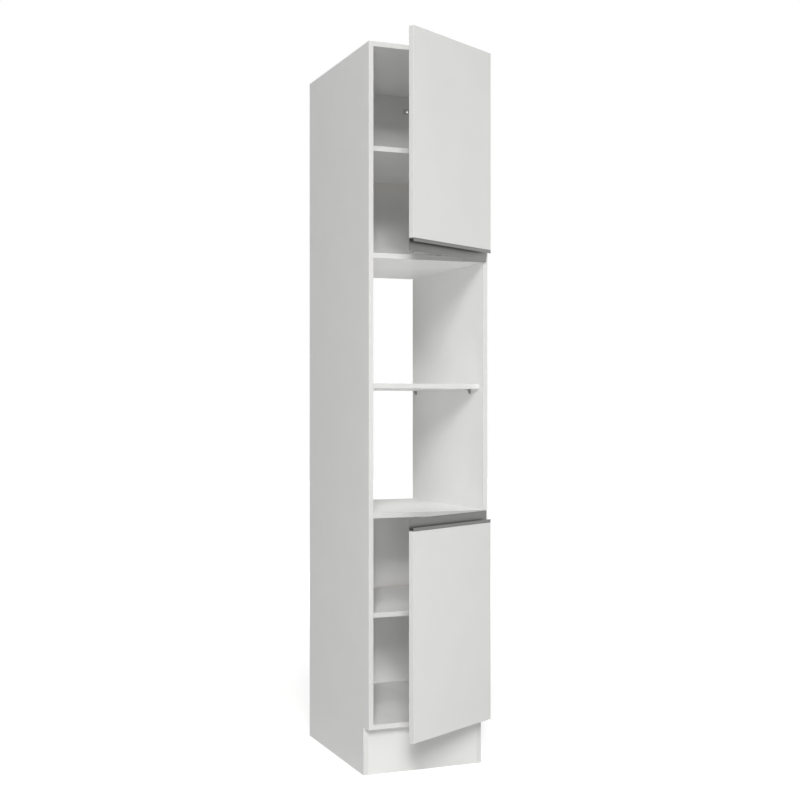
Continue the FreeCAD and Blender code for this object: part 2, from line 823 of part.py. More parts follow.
# ------------------------------------------------------------------ doors
class Door:
    """A door with its aluminium grip, its hinges and its bumpers.

    grip_side is -1 for a grip along the lower end and +1 for a grip along the upper end.
    """

    def __init__(self, name, cupboard_low, cupboard_high, grip_side):
        self.name = name
        self.grip_side = grip_side
        low_grip = grip_side < 0
        self.low = cupboard_low + (grip_end_reveal + grip_reach if low_grip else door_end_reveal)
        self.high = cupboard_high - (door_end_reveal if low_grip else grip_end_reveal + grip_reach)
        self.grip_end = self.low if low_grip else self.high
        self.hinge_levels = [self.low + hinge_end_inset, self.high - hinge_end_inset]

    def node(self, piece):
        """The name of one of this door's nodes."""
        return self.name + "_" + piece

    def at_hinges(self, shapes):
        """The shapes of one hinge, once for each hinge of the door."""
        return [shape.translated(UP * level) for level in self.hinge_levels for shape in shapes]

    def plate_screw_holes(self):
        """The holes of the mounting plates' screws in the side panel."""
        return self.at_hinges([screw_hole(seat, INTO_SIDE, screw_grip) for seat in plate_screw_seats(0)])

    def across(self, outward, height):
        """A point of the grip's section: a distance outward from the door's back, a height off its end."""
        return V(door_left, door_back - outward, self.grip_end + self.grip_side * height)

    def grip_bar(self, outward0, outward1, height0, height1):
        """A straight bar of the grip's section along the whole door."""
        a = self.across(outward0, height0)
        b = self.across(outward1, height1)
        return slab(door_left, door_right, a.y, b.y, a.z, b.z)

    def kerf(self):
        """The saw cut in the door's end that takes the grip's tongue."""
        middle = door_board / 2
        half = tongue_thickness / 2 + barb_height + kerf_clearance
        return self.grip_bar(middle - half, middle + half, 0, -tongue_length - kerf_bottom_clearance)

    def grip(self):
        """The grip: a flange on the door's end, a web, a lip and a barbed tongue."""
        flange = self.grip_bar(0, door_board, 0, grip_sheet)
        web = self.grip_bar(0, grip_sheet, 0, grip_reach)
        lip = self.grip_bar(door_board - grip_sheet, door_board, 0, grip_lip_height)
        middle = door_board / 2
        half = tongue_thickness / 2
        tongue = self.grip_bar(middle - half, middle + half, 0, -tongue_length)
        profile = fused([flange, web, lip])
        corners_inside = [self.across(grip_sheet, grip_sheet),
                          self.across(door_board - grip_sheet, grip_sheet)]
        profile = rounded(profile, grip_inner_radius, lambda edge: lies_along(edge, corners_inside))
        ends = [self.across(0, grip_reach),
                self.across(grip_sheet, grip_reach),
                self.across(door_board, grip_lip_height),
                self.across(door_board - grip_sheet, grip_lip_height),
                self.across(door_board, 0)]
        profile = rounded(profile, grip_edge_radius, lambda edge: lies_along(edge, ends))
        return fused([profile, tongue] + self.barbs(middle, half))

    def barbs(self, middle, half):
        """The saw-tooth ridges on both faces of the tongue."""
        ridges = []
        rows = int(tongue_length / barb_pitch)
        for row in range(1, rows + 1):
            root = -row * barb_pitch
            for way in (-1, 1):
                face = middle + way * half
                ridges.append(prism([
                    self.across(face, root),
                    self.across(face + way * barb_height, root),
                    self.across(face, root - barb_pitch / 2),
                ], V(door_right - door_left, 0, 0)))
        return ridges

    def panel(self):
        """The door board with its kerf, cup bores and screw holes."""
        blank = slab(door_left, door_right, door_front, door_back, self.low, self.high)
        blank = blank.makeFillet(door_arris, blank.Edges)
        bore = cup_disc(cup_radius + cup_bore_clearance, door_gap, cup_bottom + cup_bore_clearance)
        holes = [screw_hole(seat, INTO_DOOR, screw_grip) for seat in cup_screw_seats(0)]
        return blank.cut([self.kerf()] + self.at_hinges([bore] + holes))

    def bumpers(self):
        """Two soft discs on the door's back that meet the left side panel's front edge."""
        x = board / 2 - half_width
        heights = (self.low + bumper_end_inset, self.high - bumper_end_inset)
        discs = [rod(bumper_radius, V(x, door_back, z), V(x, door_back + bumper_thickness, z))
                 for z in heights]
        return [rounded(disc, cap_edge, lambda edge: on_front(edge, door_back + bumper_thickness))
                for disc in discs]

    def pieces(self):
        """Every node of the door with its solids, in the open pose of the photo."""
        arm_pins = [pin_bore(place, hinge_pin_radius, flange_end)
                    for place in (outer_link_pivot, inner_link_pivot)]
        cup_pins = [pin_bore(place, hinge_pin_radius, cup_pin_reach) for place in (door_pivot, guide_pin)]
        plate_screws = [aimed(screw(plate_sheet), seat, INTO_SIDE)
                        for seat in plate_screw_seats(plate_sheet)]
        cup_screws = [aimed(screw(cup_plate_sheet), seat, INTO_DOOR)
                      for seat in cup_screw_seats(cup_plate_sheet)]
        fixed = {
            "hinge_mounting_plates": [mounting_plate()],
            "hinge_plate_screws": plate_screws,
            "hinge_arms": [hinge_arm()],
            "hinge_arm_screws": [aimed(screw(arm_sheet), arm_screw_seat(arm_sheet), INTO_SIDE)],
            "hinge_arm_pins": arm_pins,
            "outer_links": [swung(outer_link(), outer_link_pivot, outer_link_rate)],
            "inner_links": [swung(inner_link(), inner_link_pivot, inner_link_rate)],
            "hinge_cups": [with_door(hinge_cup())],
            "hinge_cup_pins": [with_door(pin) for pin in cup_pins],
            "hinge_cup_screws": [with_door(each) for each in cup_screws],
        }
        nodes = {self.node(piece): self.at_hinges(solids) for piece, solids in fixed.items()}
        nodes[self.node("door_panel")] = [with_door(self.panel())]
        nodes[self.node("door_handle")] = [with_door(self.grip())]
        nodes[self.node("door_bumpers")] = [with_door(bumper) for bumper in self.bumpers()]
        return nodes


def lies_along(edge, points):
    """Whether an edge runs along X through one of the points."""
    box = edge.BoundBox
    if box.XLength < box.YLength + box.ZLength:
        return False
    return any(abs(box.YMin - point.y) < near_rounding and abs(box.ZMin - point.z) < near_rounding
               for point in points)


def swung(shape, pivot, rate):
    """The shape turned about a pivot of the arm by its share of the door's opening."""
    return shape.rotated(spot(pivot), UP, rate * door_open_angle)


def with_door(shape):
    """A shape of the closed door, moved to the open pose by the outer links and the door pivot."""
    on_links = shape.rotated(spot(door_pivot), UP, (1 - outer_link_rate) * door_open_angle)
    return swung(on_links, outer_link_pivot, outer_link_rate)


doors = [
    Door("upper", upper_base_underside, carcass_top, -1),
    Door("lower", plinth_height, niche_floor_top, 1),
]


# ------------------------------------------------------------------ every node and its file
def save(name, solids):
    """Write one node. A node of several solids becomes a compound."""
    shape = solids[0] if len(solids) == 1 else Part.makeCompound(solids)
    shape.exportStep(os.path.join("parts", name + ".step"))
    volume = sum(solid.Volume for solid in solids)
    print(name, len(solids), "solids,", round(volume), "mm3, valid", shape.isValid())


joints = [(panel, side) for panel in fixed_panels for side in SIDES]
cam_joints = [(panel, side, y) for panel, side in joints for y in cam_rows]
dowel_joints = [(panel, side, y) for panel, side in joints for y in dowel_rows]

nodes = {
    "side_panel_left": [side_panel(-1)],
    "side_panel_right": [side_panel(1)],
    "plinth_side_left": [plinth_side(-1)],
    "plinth_side_right": [plinth_side(1)],
    "plinth_front_board": [plinth_cross_board(plinth_front, plinth_front + board)],
    "plinth_back_board": [plinth_cross_board(rear - board, rear)],
    "plinth_corner_blocks": [corner.block() for corner in corners],
    "plinth_block_screws": [each for corner in corners for each in corner.screws()],
    "cam_locks": [cam_lock(*joint) for joint in cam_joints],
    "cam_bolts": [cam_bolt(*joint) for joint in cam_joints],
    "cam_cover_caps": [cam_cap(*joint) for joint in cam_joints if joint[0].capped],
    "dowels": [dowel(*joint) for joint in dowel_joints],
    "back_panel_nails": [aimed(nail(), place, INTO_BOARD) for back in backs for place in back.nails()],
    "wall_brackets": [wall_bracket(side) for side in SIDES],
    "wall_bracket_screws": [each for side in SIDES for each in bracket_screws(side)],
}
for panel in fixed_panels:
    nodes[panel.name] = [fixed_panel(panel)]
for back in backs:
    nodes[back.name] = [back_panel(back)]
for shelf in shelves:
    nodes[shelf.name] = [shelf.solid()]
    nodes[shelf.supports_name] = [shelf.support(side, y) for side in SIDES for y in shelf.support_rows]
for door in doors:
    nodes.update(door.pieces())

os.makedirs("parts", exist_ok=True)
for name, solids in nodes.items():
    save(name, solids)
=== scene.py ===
"""A tall white kitchen cabinet for a built-in microwave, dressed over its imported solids.

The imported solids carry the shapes. This script gives every one of them its finish, glues plastic edge
bands to the boards' visible edges, sets soft domes behind the doors, and puts the cabinet in a white studio.
"""

import logging
import math
from dataclasses import dataclass, field
from enum import Enum
from typing import Any

import bmesh
import bpy
import numpy as np
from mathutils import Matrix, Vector

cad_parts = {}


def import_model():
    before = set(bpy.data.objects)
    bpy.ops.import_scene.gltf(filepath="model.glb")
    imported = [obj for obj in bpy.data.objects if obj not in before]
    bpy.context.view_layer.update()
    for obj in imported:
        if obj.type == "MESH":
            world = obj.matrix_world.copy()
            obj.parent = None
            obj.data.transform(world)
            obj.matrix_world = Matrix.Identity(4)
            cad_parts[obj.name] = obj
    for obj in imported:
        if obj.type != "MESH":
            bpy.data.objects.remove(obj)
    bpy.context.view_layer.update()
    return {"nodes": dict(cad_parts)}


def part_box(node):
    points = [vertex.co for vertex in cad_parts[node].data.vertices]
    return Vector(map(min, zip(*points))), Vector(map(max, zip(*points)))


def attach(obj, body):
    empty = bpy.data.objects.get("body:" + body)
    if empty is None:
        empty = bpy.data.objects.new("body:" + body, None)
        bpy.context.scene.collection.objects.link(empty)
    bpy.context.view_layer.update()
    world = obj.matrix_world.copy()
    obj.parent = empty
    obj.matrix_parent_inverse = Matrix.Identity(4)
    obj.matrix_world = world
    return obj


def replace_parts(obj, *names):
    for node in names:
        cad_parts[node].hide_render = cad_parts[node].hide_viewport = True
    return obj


frame: dict[str, Any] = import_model()

log = logging.getLogger("cabinet")

MM = 0.001
SHARP_DEG = 30.0
SOFT_STOPS = (0.3, 0.7)
FIRM_STOPS = (0.35, 0.65)


class Body(Enum):
    """The CAD bodies that the new pieces ride on."""

    CABINET = "cabinet"
    UPPER_DOOR = "upper_door"
    LOWER_DOOR = "lower_door"


class Slot(Enum):
    """The names of three material slots."""

    WHITE_BOARD = "white_board"
    DOOR_BOARD = "door_board"
    SOFT_CLEAR = "soft_clear"


# --------------------------------------------------------------------------- colours and nodes


def linear(hex_colour: str) -> tuple[float, float, float, float]:
    """Turns an sRGB hex colour into linear light.

    Args:
        hex_colour: Six hex digits after a hash sign.

    Returns:
        Red, green, blue and alpha, as a shader socket takes them.
    """
    parts = [int(hex_colour[i : i + 2], 16) / 255.0 for i in (1, 3, 5)]
    light = [c / 12.92 if c <= 0.04045 else ((c + 0.055) / 1.055) ** 2.4 for c in parts]
    return (light[0], light[1], light[2], 1.0)


def per_metre(size_mm: float) -> float:
    """The texture scale at which one feature of a pattern is this many millimetres across."""
    return 1.0 / (size_mm * MM)


def add_node(tree: bpy.types.NodeTree, kind: str, settings: dict[str, Any] | None = None,
             **inputs: Any) -> bpy.types.Node:
    """Adds a node with its settings and links.

    Args:
        tree: The tree that gets the node.
        kind: The node's type, such as ShaderNodeTexNoise.
        settings: The node's own properties.
        inputs: Values or output sockets by input name, with _ for a space, or by number after an n.

    Returns:
        The new node.
    """
    node = tree.nodes.new(kind)
    for name, value in (settings or {}).items():
        setattr(node, name, value)
    for name, value in inputs.items():
        numbered = name[0] == "n" and name[1:].isdigit()
        socket = node.inputs[int(name[1:]) if numbered else name.replace("_", " ")]
        if isinstance(value, bpy.types.NodeSocket):
            tree.links.new(value, socket)
        else:
            socket.default_value = value
    return node


def steps(tree: bpy.types.NodeTree, factor: Any, stops: list[tuple[float, Any]]) -> Any:
    """A colour ramp over a factor.

    Args:
        tree: The tree that gets the node.
        factor: The socket that drives the ramp.
        stops: Positions, each with a hex colour or a grey level.

    Returns:
        The ramp's colour.
    """
    ramp = add_node(tree, "ShaderNodeValToRGB", n0=factor)
    for index, (place, colour) in enumerate(stops):
        element = ramp.color_ramp.elements[index] if index < 2 else ramp.color_ramp.elements.new(place)
        element.position = place
        element.color = linear(colour) if isinstance(colour, str) else (colour, colour, colour, 1.0)
    return ramp.outputs[0]


def sums(tree: bpy.types.NodeTree, operation: str, first: Any, second: Any) -> Any:
    """The result of one sum, such as ADD or GREATER_THAN, on two sockets or numbers."""
    return add_node(tree, "ShaderNodeMath", {"operation": operation}, n0=first, n1=second).outputs[0]


def blended(tree: bpy.types.NodeTree, share: Any, under: Any, over: Any) -> Any:
    """One colour laid over another by a share from 0 to 1."""
    return add_node(tree, "ShaderNodeMix", {"data_type": "RGBA"}, n0=share, n6=under, n7=over).outputs[2]


# --------------------------------------------------------------------------- finishes


class Grain(Enum):
    """How a pattern is stretched: not at all, or along the width or height of a closed cabinet."""

    NONE = (1.0, 1.0, 1.0)
    WIDTH = (0.02, 1.0, 1.0)
    HEIGHT = (1.0, 1.0, 0.02)


@dataclass(frozen=True)
class Finish:
    """A surface with one colour that drifts a little, a fine relief, and gloss with faint wipe marks."""

    name: str
    colour: str
    drift: str
    roughness: tuple[float, float]
    relief_mm: float
    relief_height_mm: float
    metallic: float = 0.0
    ior: float = 1.5
    transmission: float = 0.0
    grain: Grain = Grain.NONE
    turn_deg: float = 0.0
    wipe_mm: float = 90.0
    drift_mm: float = 120.0

    def place(self, tree: bpy.types.NodeTree) -> Any:
        """Object coordinates, turned back to the closed door's."""
        at_rest = add_node(tree, "ShaderNodeTexCoord").outputs["Object"]
        if not self.turn_deg:
            return at_rest
        return add_node(tree, "ShaderNodeMapping", Vector=at_rest,
                        Rotation=(0.0, 0.0, -math.radians(self.turn_deg))).outputs[0]

    def stretched(self, tree: bpy.types.NodeTree, grain: Grain) -> Any:
        """The place, stretched along a grain."""
        return add_node(tree, "ShaderNodeMapping", Vector=self.place(tree), Scale=grain.value).outputs[0]

    def noise(self, tree: bpy.types.NodeTree, vector: Any, size_mm: float, detail: float = 2.0) -> Any:
        """Noise whose features are of one size."""
        return add_node(tree, "ShaderNodeTexNoise", Vector=vector, Scale=per_metre(size_mm),
                        Detail=detail).outputs[0]

    def base_colour(self, tree: bpy.types.NodeTree) -> Any:
        """The colour, which drifts slowly over a hand's breadth."""
        slow = self.noise(tree, self.place(tree), self.drift_mm)
        return steps(tree, slow, list(zip(SOFT_STOPS, (self.colour, self.drift))))

    def relief(self, tree: bpy.types.NodeTree) -> Any:
        """The height of the fine relief, from 0 to 1."""
        return self.noise(tree, self.stretched(tree, self.grain), self.relief_mm, detail=3.0)

    def material(self) -> bpy.types.Material:
        """Builds the material, or finds it if it is there.

        Returns:
            The node material, named for what the surface is.
        """
        known = bpy.data.materials.get(self.name)
        if known:
            return known
        material = bpy.data.materials.new(self.name)
        material.use_nodes = True
        tree = material.node_tree
        shader = tree.nodes["Principled BSDF"]
        relief = self.relief(tree)
        low, high = self.roughness
        wiped = self.noise(tree, self.place(tree), self.wipe_mm)
        even = sums(tree, "MULTIPLY", sums(tree, "ADD", relief, wiped), 0.5)
        gloss = add_node(tree, "ShaderNodeMapRange", Value=even, To_Min=low, To_Max=high)
        bump = add_node(tree, "ShaderNodeBump", Height=relief, Distance=self.relief_height_mm * MM,
                        Strength=1.0)
        tree.links.new(self.base_colour(tree), shader.inputs["Base Color"])
        tree.links.new(gloss.outputs[0], shader.inputs["Roughness"])
        tree.links.new(bump.outputs[0], shader.inputs["Normal"])
        shader.inputs["Metallic"].default_value = self.metallic
        shader.inputs["IOR"].default_value = self.ior
        shader.inputs["Transmission Weight"].default_value = self.transmission
        return material

    def dress(self, *nodes: str) -> None:
        """Gives this finish to CAD nodes.

        Args:
            nodes: The nodes' names.
        """
        for name in nodes:
            slots = frame["nodes"][name].data.materials
            slots.clear()
            slots.append(self.material())
            log.info("%s: %s", name, self.name)


@dataclass(frozen=True)
class Melamine(Finish):
    """A printed paper soaked in melamine and pressed on a board.

    A few fibres of the paper show as faint grey specks. Edges that no band covers show the raw core: those
    behind raw_rear_mm, and those below raw_foot_mm.
    """

    speck_spacing_mm: float = 9.0
    speck_mm: float = 0.8
    speck_colour: str = "#D9D8D3"
    speck_strength: float = 0.5
    raw_rear_mm: float = 1.0
    raw_foot_mm: float = -1.0
    core_dark: str = "#8F6F4E"
    core_light: str = "#C9AD86"
    chip_mm: float = 2.4

    def specks(self, tree: bpy.types.NodeTree) -> Any:
        """1 in the specks and 0 around them: spots about the middles of random cells."""
        cells = add_node(tree, "ShaderNodeTexVoronoi", Vector=self.place(tree),
                         Scale=per_metre(self.speck_spacing_mm))
        reach = self.speck_mm / 2 / self.speck_spacing_mm
        return sums(tree, "LESS_THAN", cells.outputs["Distance"], reach)

    def core(self, tree: bpy.types.NodeTree) -> Any:
        """The pressed chips of the board's core, each of its own brown."""
        chips = add_node(tree, "ShaderNodeTexVoronoi", Vector=self.place(tree),
                         Scale=per_metre(self.chip_mm))
        return steps(tree, chips.outputs["Color"], [(0.15, self.core_dark), (0.85, self.core_light)])

    def base_colour(self, tree: bpy.types.NodeTree) -> Any:
        """The facing with its specks, and the core where it is left raw."""
        share = sums(tree, "MULTIPLY", self.specks(tree), self.speck_strength)
        facing = blended(tree, share, super().base_colour(tree), linear(self.speck_colour))
        apart = add_node(tree, "ShaderNodeSeparateXYZ", Vector=self.place(tree))
        rear = sums(tree, "GREATER_THAN", apart.outputs["Y"], self.raw_rear_mm * MM)
        foot = sums(tree, "LESS_THAN", apart.outputs["Z"], self.raw_foot_mm * MM)
        return blended(tree, sums(tree, "MAXIMUM", rear, foot), facing, self.core(tree))


@dataclass(frozen=True)
class Hardboard(Melamine):
    """Pressed fibres with a lacquered face.

    The raw face bears the print of the wire mesh it was pressed on.
    """

    mesh_mm: float = 3.0
    lacquer_share: float = 0.15

    def relief(self, tree: bpy.types.NodeTree) -> Any:
        """The mesh's print: the product of one wave across the width and one up the height.

        The lacquered side has no print, only a share of the fine relief.
        """
        apart = add_node(tree, "ShaderNodeSeparateXYZ", Vector=self.place(tree))
        waves = [sums(tree, "SINE", sums(tree, "MULTIPLY", apart.outputs[axis],
                                         math.tau / (self.mesh_mm * MM)), 0.0) for axis in "XZ"]
        print_height = sums(tree, "MULTIPLY", waves[0], waves[1])
        raw = sums(tree, "GREATER_THAN", apart.outputs["Y"], self.raw_rear_mm * MM)
        fine = sums(tree, "MULTIPLY", super().relief(tree), self.lacquer_share)
        return sums(tree, "ADD", sums(tree, "MULTIPLY", raw, print_height), fine)


@dataclass(frozen=True)
class Anodised(Finish):
    """An extruded profile, etched and anodised, with die lines along it and a few scratches across."""

    scratch_mm: float = 3.0
    scratch_colour: str = "#9C9C9A"
    line_mm: float = 1.2

    def base_colour(self, tree: bpy.types.NodeTree) -> Any:
        """The metal, with die lines in it and the lighter scratches laid over it."""
        lines = self.noise(tree, self.stretched(tree, self.grain), self.line_mm, detail=4.0)
        metal = steps(tree, lines, list(zip(FIRM_STOPS, (self.colour, self.drift))))
        rubbed = self.noise(tree, self.stretched(tree, Grain.HEIGHT), self.scratch_mm, detail=5.0)
        scratches = steps(tree, rubbed, [(0.66, 0.0), (0.72, 0.35)])
        return blended(tree, scratches, metal, linear(self.scratch_colour))


@dataclass(frozen=True)
class Timber(Finish):
    """Turned hardwood: long darker vessels in a lighter ground."""

    vessel_mm: float = 0.8

    def base_colour(self, tree: bpy.types.NodeTree) -> Any:
        """The ground, with the vessels drawn along the grain."""
        vessels = self.noise(tree, self.stretched(tree, self.grain), self.vessel_mm, detail=4.0)
        return steps(tree, vessels, [(0.35, self.drift), (0.6, self.colour)])


@dataclass(frozen=True)
class Plated(Finish):
    """Stamped steel with a thin bright coat that is a little uneven in tone."""

    cloud_mm: float = 14.0

    def base_colour(self, tree: bpy.types.NodeTree) -> Any:
        """The coat's two tones, in clouds of one size."""
        clouds = self.noise(tree, self.place(tree), self.cloud_mm, detail=4.0)
        return steps(tree, clouds, list(zip(FIRM_STOPS, (self.colour, self.drift))))


# White melamine on particle board: dead white, with a pearl emboss that spreads the highlight. The emboss is
# finer than a pixel of the render, so it is drawn at 5 mm.
CARCASS_FACING = Melamine("white_melamine_carcass", "#F1F1F0", "#EFEFEE", (0.5, 0.6), 5.0, 0.02,
                          raw_rear_mm=-0.2)
# The same board in the shelves, whose rear edges stand free inside the carcass.
SHELF_FACING = Melamine("white_melamine_shelf", "#F1F1F0", "#EFEFEE", (0.5, 0.6), 5.0, 0.02,
                        raw_rear_mm=-22.2)
# The same board in the plinth's sides, cut raw where they stand on the floor.
PLINTH_SIDE_FACING = Melamine("white_melamine_plinth_side", "#F1F1F0", "#EFEFEE", (0.5, 0.6), 5.0, 0.02,
                              raw_foot_mm=0.2)
# The white facing on the plinth's cross boards, drawn greyer as painted shade so the lamp-lit plinth front
# does not show white; cut raw at the floor too.
PLINTH_FACING_PAINTED_SHADE = Melamine("white_melamine_plinth", "#D7D7D5", "#D5D5D3", (0.52, 0.62), 5.0, 0.02,
                         raw_foot_mm=0.2)
# The doors' facing, pressed against a smoother plate: a little glossier. Its greyer colour is painted shade on
# the door fronts.
DOOR_FACING_PAINTED_SHADE = Melamine("white_melamine_door", "#DDDDDB", "#DBDBD9", (0.42, 0.5), 7.0, 0.015)
# Plastic edge band, scraped and buffed along its run: smoother than the facing. Its colour, a shade greyer
# than the facing, is painted shade on the lit front edges of boards and doors.
UPRIGHT_BAND = Finish("white_edge_band_upright", "#CFCFCD", "#CDCDCB", (0.34, 0.44), 1.5, 0.004, ior=1.53,
                      grain=Grain.HEIGHT)
LEVEL_BAND = Finish("white_edge_band_level", "#CFCFCD", "#CDCDCB", (0.34, 0.44), 1.5, 0.004, ior=1.53,
                    grain=Grain.WIDTH)
DOOR_BAND = Finish("white_edge_band_door", "#CFCFCD", "#CDCDCB", (0.34, 0.44), 3.0, 0.004, ior=1.53)
# Lacquered hardboard: smooth white inside the cupboard, brown fibres and a wire print towards the wall.
BACK_FACING = Hardboard("white_lacquered_hardboard", "#EBEBEA", "#E8E8E7", (0.5, 0.6), 2.0, 0.2,
                        raw_rear_mm=-3.2, core_dark="#86674A", core_light="#A88964", chip_mm=0.9)
# Extruded aluminium, etched and anodised in a dark satin tone.
GRIP_METAL = Anodised("satin_anodised_aluminium", "#7E7E7C", "#747473", (0.36, 0.48), 0.8, 0.01,
                      metallic=1.0, grain=Grain.WIDTH, turn_deg=29.8)
# Stamped steel with a nickel coat: a soft mirror, a little warm.
NICKEL = Plated("nickel_plated_steel", "#BFBDB9", "#B4B2AD", (0.2, 0.32), 6.0, 0.01, metallic=1.0)
# Stamped steel with a thick dull zinc coat: pale and nearly matt, so it hardly shows against white board.
DULL_ZINC = Plated("hot_dip_zinc_on_steel", "#E3E3E1", "#D5D6D6", (0.5, 0.62), 2.5, 0.012, metallic=1.0,
                   cloud_mm=6.0)
# Turned steel with a zinc coat: cooler and duller, with a faint blue and yellow play.
ZINC = Plated("zinc_plated_steel", "#B4B7BB", "#ADABA2", (0.3, 0.42), 2.0, 0.01, metallic=1.0, cloud_mm=3.0)
# Die-cast zinc alloy, as it leaves the mould: grey and grainy, hardly reflecting.
CASTING = Plated("zinc_die_casting", "#9C9D9F", "#8B8C8E", (0.45, 0.62), 0.8, 0.02, metallic=1.0,
                 cloud_mm=4.0)
# Moulded polyethylene: white and waxy, with the fine grain of a spark-eroded mould.
WHITE_PLASTIC = Finish("moulded_polyethylene", "#E2E2E0", "#DEDEDC", (0.42, 0.55), 0.9, 0.01, ior=1.51)
# Moulded nylon: pale grey with the same grain.
GREY_PLASTIC = Finish("moulded_nylon", "#A0A09E", "#989896", (0.42, 0.55), 0.9, 0.012, ior=1.53)
# Cast polyurethane: clear and soft, slightly milky.
CLEAR_RUBBER = Finish("cast_polyurethane", "#EFEFEC", "#EAEAE6", (0.12, 0.22), 2.0, 0.004, ior=1.48,
                      transmission=0.8)
# Turned beech, its grain along the dowel.
BEECH = Timber("beech", "#C79F72", "#A97E52", (0.5, 0.65), 0.7, 0.02, grain=Grain.WIDTH)


# --------------------------------------------------------------------------- surfaces


def grid_faces(rows: int, columns: int) -> np.ndarray:
    """The quads between rings of points, each ring joined end to end.

    Args:
        rows: How many rings there are.
        columns: How many points a ring has.

    Returns:
        The four point numbers of each quad.
    """
    row, column = np.meshgrid(np.arange(rows - 1), np.arange(columns), indexing="ij")
    first = row * columns
    following = (column + 1) % columns
    quads = np.stack([first + column, first + following, first + columns + following,
                      first + columns + column], axis=-1)
    return quads.reshape(-1, 4)


def add_closed_piece(name: str, tubes: list[np.ndarray], finish: Finish, body: Body) -> bpy.types.Object:
    """Makes one piece from tubes, each closed by a face on its first ring and one on its last.

    Args:
        name: The piece's name.
        tubes: For each tube its rings of points in the frame, in metres: rings, points, coordinates.
        finish: Its finish.
        body: The CAD body that it moves with.

    Returns:
        The new object.
    """
    points: list[list[float]] = []
    faces: list[list[int]] = []
    for tube in tubes:
        rows, columns, _ = tube.shape
        start = len(points)
        ring = np.arange(columns) + start
        faces += (grid_faces(rows, columns) + start).tolist()
        faces += [ring[::-1].tolist(), (ring + (rows - 1) * columns).tolist()]
        points += tube.reshape(-1, 3).tolist()
    mesh = bpy.data.meshes.new(name)
    mesh.from_pydata(points, [], faces)
    shell = bmesh.new()
    shell.from_mesh(mesh)
    bmesh.ops.recalc_face_normals(shell, faces=shell.faces)
    shell.to_mesh(mesh)
    shell.free()
    mesh.shade_smooth()
    mesh.set_sharp_from_angle(angle=math.radians(SHARP_DEG))
    mesh.materials.append(finish.material())
    piece = bpy.data.objects.new(name, mesh)
    bpy.context.collection.objects.link(piece)
    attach(piece, body.value)
    log.info("%s: %d faces on %s", name, len(faces), body.value)
    return piece


def carried(section: np.ndarray, middles: np.ndarray, across: np.ndarray, outward: np.ndarray) -> np.ndarray:
    """A section carried along a path.

    A point of the surface is the path's point, plus the section's first number along the across direction,
    plus its second number along the outward direction at that place of the path.

    Args:
        section: The outline's points, each as a distance across and a distance outward.
        middles: The path's points.
        across: The one direction that the section's width lies in.
        outward: The outward direction at each point of the path.

    Returns:
        The rings of points along the path, in the units of the input.
    """
    width = section[None, :, :1] * across[None, None, :]
    height = section[None, :, 1:] * outward[:, None, :]
    return middles[:, None, :] + width + height


@dataclass(frozen=True)
class Banding:
    """A plastic edge band on a board's edge, with its long edges scraped round. Lengths are millimetres."""

    thickness: float = 0.8
    proud: float = 0.02
    inner_rounding: float = 0.01
    arc_steps: int = 4
    margin: float = 0.1

    def section(self, board: float, arris: float, base: float) -> np.ndarray:
        """The band's outline, cut across its run.

        It has a quarter circle at each corner: the corner's middle, plus the radius times the cosine and sine
        of an angle. One more point beside each end of a quarter circle keeps the straight sides flat.

        Args:
            board: The board's thickness.
            arris: The radius of the board's eased edges.
            base: How far outward from the path the board's edge lies.

        Returns:
            Its points, each as a distance across and a distance outward.
        """
        outer = base + self.proud
        radius = np.array([arris + self.proud] * 2 + [self.inner_rounding] * 2)[:, None]
        across_side = np.array([1, -1, -1, 1])[:, None]
        outward_side = np.array([1, 1, -1, -1])[:, None]
        edge = np.array([outer, outer, outer - self.thickness, outer - self.thickness])[:, None]
        angle = (np.arange(4)[:, None] + np.linspace(0, 1, self.arc_steps + 1)) * math.pi / 2
        across_middle = across_side * (board / 2 + self.proud - radius)
        middle = np.stack([across_middle, edge - outward_side * radius], -1)
        arc = middle + radius[..., None] * np.stack([np.cos(angle), np.sin(angle)], -1)
        along = np.stack([-np.sin(angle), np.cos(angle)], -1) * self.margin
        beside = (arc[:, :1] - along[:, :1], arc, arc[:, -1:] + along[:, -1:])
        return np.concatenate(beside, axis=1).reshape(-1, 2)

    def on_front_edge(self, node: str, arris: float) -> np.ndarray:
        """A straight band on the front edge of one board.

        The path runs up the middle of an upright board's front edge, or across a level board's.

        Args:
            node: The board's CAD node.
            arris: The radius of the board's eased edges, in millimetres.

        Returns:
            The band's rings of points, in metres.
        """
        low, high = (np.array(corner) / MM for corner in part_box(node))
        size = high - low
        run, width = (2, 0) if size[2] > size[0] else (0, 2)
        stations = np.array([low[run] + self.proud, high[run] - self.proud])
        middles = np.tile((low + high) / 2, (2, 1))
        middles[:, 1] = low[1]
        middles[:, run] = stations
        outward = np.tile([0.0, -1.0, 0.0], (2, 1))
        section = self.section(size[width], arris, 0.0)
        return carried(section, middles, np.eye(3)[width], outward) * MM


# --------------------------------------------------------------------------- carcass and plinth


